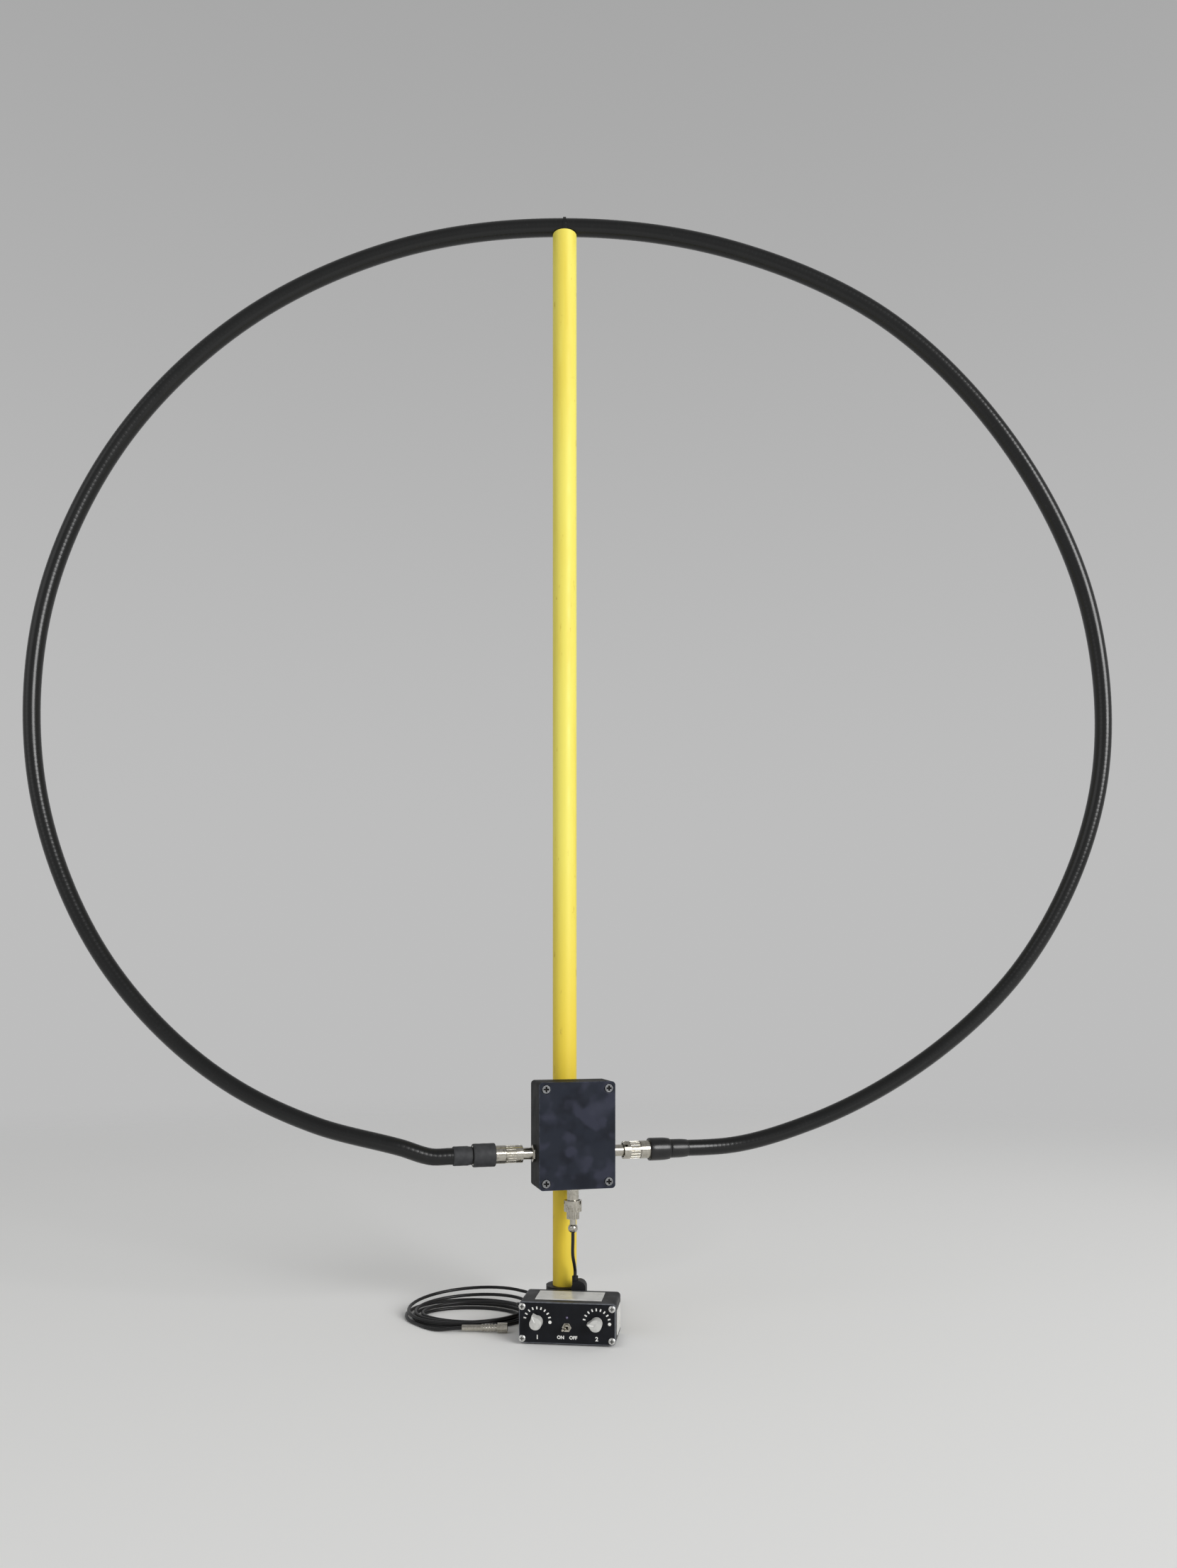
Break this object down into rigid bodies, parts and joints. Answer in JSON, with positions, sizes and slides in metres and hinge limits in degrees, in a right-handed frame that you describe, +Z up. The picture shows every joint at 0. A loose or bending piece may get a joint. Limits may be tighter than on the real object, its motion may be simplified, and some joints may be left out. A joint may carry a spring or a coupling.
{
  "type": "radio loop antenna",
  "caption": "Table-top loop antenna: a ribbed cable loop tied to a mast, a matching box at its foot, a small tuner with knobs and a switch, a jumper lead and a coiled feedline.",
  "frame": {"origin": "mast axis at table level, on the underside of the base plate", "axes": "+X to the right seen from the tuner's front, +Y to the back, +Z up along the mast"},
  "size_m": [0.9019, 0.1529, 0.9268],
  "materials": {
    "mast_yellow": "glossy yellow tube",
    "black_plastic": "black moulded plastic",
    "foot_paint": "dark satin paint",
    "bright_steel": "plain steel screws and nuts",
    "cable_black": "satin black ribbed jacket",
    "nickel": "bright nickel plate",
    "shrink_grey": "dull dark grey sleeve",
    "box_slate": "dark blue grey matte plastic with smudges",
    "board_green": "circuit board",
    "core_grey": "ferrite",
    "core_red": "coated iron powder",
    "copper_wire": "enamelled copper wire",
    "cord_black": "black cord jacket",
    "case_black": "black satin case",
    "panel_black": "black panel with white marks",
    "foot_rubber": "rubber feet",
    "pale_plate": "pale glossy plate",
    "knob_grey": "pale grey moulded knob",
    "capacitor_white": "pale plastic body",
    "lamp_lens": "unlit clear lens"
  },
  "bodies": {
    "base": {"base_plate": "foot_paint", "mast_socket": "black_plastic", "socket_screws": "bright_steel", "jumper_lead": "cord_black", "jumper_end_plug": "black_plastic", "tuner_case": "case_black", "tuner_front_panel": "panel_black", "tuner_rear_panel": "panel_black", "panel_screws": "bright_steel", "tuner_feet": "foot_rubber", "tuner_top_plate": "pale_plate", "tuner_side_plate": "pale_plate", "load_capacitor": "capacitor_white", "tune_capacitor": "capacitor_white", "switch_body": "nickel", "switch_nut": "nickel", "tune_lamp": "lamp_lens", "tuner_board": "board_green", "tuner_core": "core_red", "tuner_winding": "copper_wire", "rear_sockets": "nickel", "feedline_end_plug": "black_plastic", "feedline_coil": "cord_black", "feedline_tail": "cord_black", "feedline_lead": "cord_black", "feedline_plug_body": "nickel"},
    "mast": {"mast_tube": "mast_yellow", "mast_top_plug": "black_plastic", "loop_tie": "black_plastic", "loop_cable": "cable_black", "left_plug_body": "nickel", "right_plug_body": "nickel", "left_big_sleeve": "shrink_grey", "right_big_sleeve": "shrink_grey", "left_small_sleeve": "shrink_grey", "right_small_sleeve": "shrink_grey", "box_shell": "box_slate", "box_lid": "box_slate", "lid_screws": "bright_steel", "left_jack": "nickel", "right_jack": "nickel", "feed_jack": "nickel", "jack_nuts": "nickel", "box_saddles": "black_plastic", "box_bolts": "bright_steel", "box_bolt_nuts": "bright_steel", "matching_board": "board_green", "matching_core": "core_grey", "matching_winding": "copper_wire", "jumper_plug_body": "nickel"},
    "left_ring": {"left_bayonet_ring": "nickel"},
    "right_ring": {"right_bayonet_ring": "nickel"},
    "jumper_ring": {"jumper_bayonet_ring": "nickel"},
    "load_control": {"load_knob": "knob_grey", "load_shaft": "bright_steel"},
    "tune_control": {"tune_knob": "knob_grey", "tune_shaft": "bright_steel"},
    "lever": {"switch_lever": "nickel"},
    "feedline_nut": {"feedline_plug_nut": "nickel"},
    "clamp_screw": {"mast_clamp_screw": "black_plastic"}
  },
  "joints": [
    {"name": "mast_turn", "type": "hinge", "parent": "base", "child": "mast", "pos_m": [0, 0, 0.02], "axis": [0, 0, 1], "range_deg": [-20, 20], "deforming": ["jumper_lead"]},
    {"name": "left_ring_turn", "type": "hinge", "parent": "mast", "child": "left_ring", "pos_m": [-0.04057, -0.03986, 0.1467], "axis": [-0.9659, -0.2588, 0], "range_deg": [0, 90]},
    {"name": "right_ring_turn", "type": "hinge", "parent": "mast", "child": "right_ring", "pos_m": [0.05506, -0.01423, 0.1467], "axis": [0.9659, 0.2588, 0], "range_deg": [0, 90]},
    {"name": "jumper_ring_turn", "type": "hinge", "parent": "mast", "child": "jumper_ring", "pos_m": [0.00725, -0.02705, 0.1035], "axis": [0, 0, -1], "range_deg": [0, 90]},
    {"name": "load_knob_turn", "type": "hinge", "parent": "base", "child": "load_control", "pos_m": [-0.02022, -0.06409, 0.0192], "axis": [-0.1236, -0.9923, 0], "range_deg": [-124, 76]},
    {"name": "tune_knob_turn", "type": "hinge", "parent": "base", "child": "tune_control", "pos_m": [0.02642, -0.0699, 0.0192], "axis": [-0.1236, -0.9923, 0], "range_deg": [-184, 16]},
    {"name": "switch_throw", "type": "hinge", "parent": "base", "child": "lever", "pos_m": [0.00292, -0.06849, 0.015], "axis": [0, 0, 1], "range_deg": [0, 30]},
    {"name": "feedline_nut_turn", "type": "hinge", "parent": "base", "child": "feedline_nut", "pos_m": [-0.05, -0.03, 0.004], "axis": [1, 0, 0], "continuous": true},
    {"name": "clamp_screw_turn", "type": "hinge", "parent": "base", "child": "clamp_screw", "pos_m": [0, 0.02, 0.021], "axis": [0, 1, 0], "range_deg": [0, 360]}
  ]
}
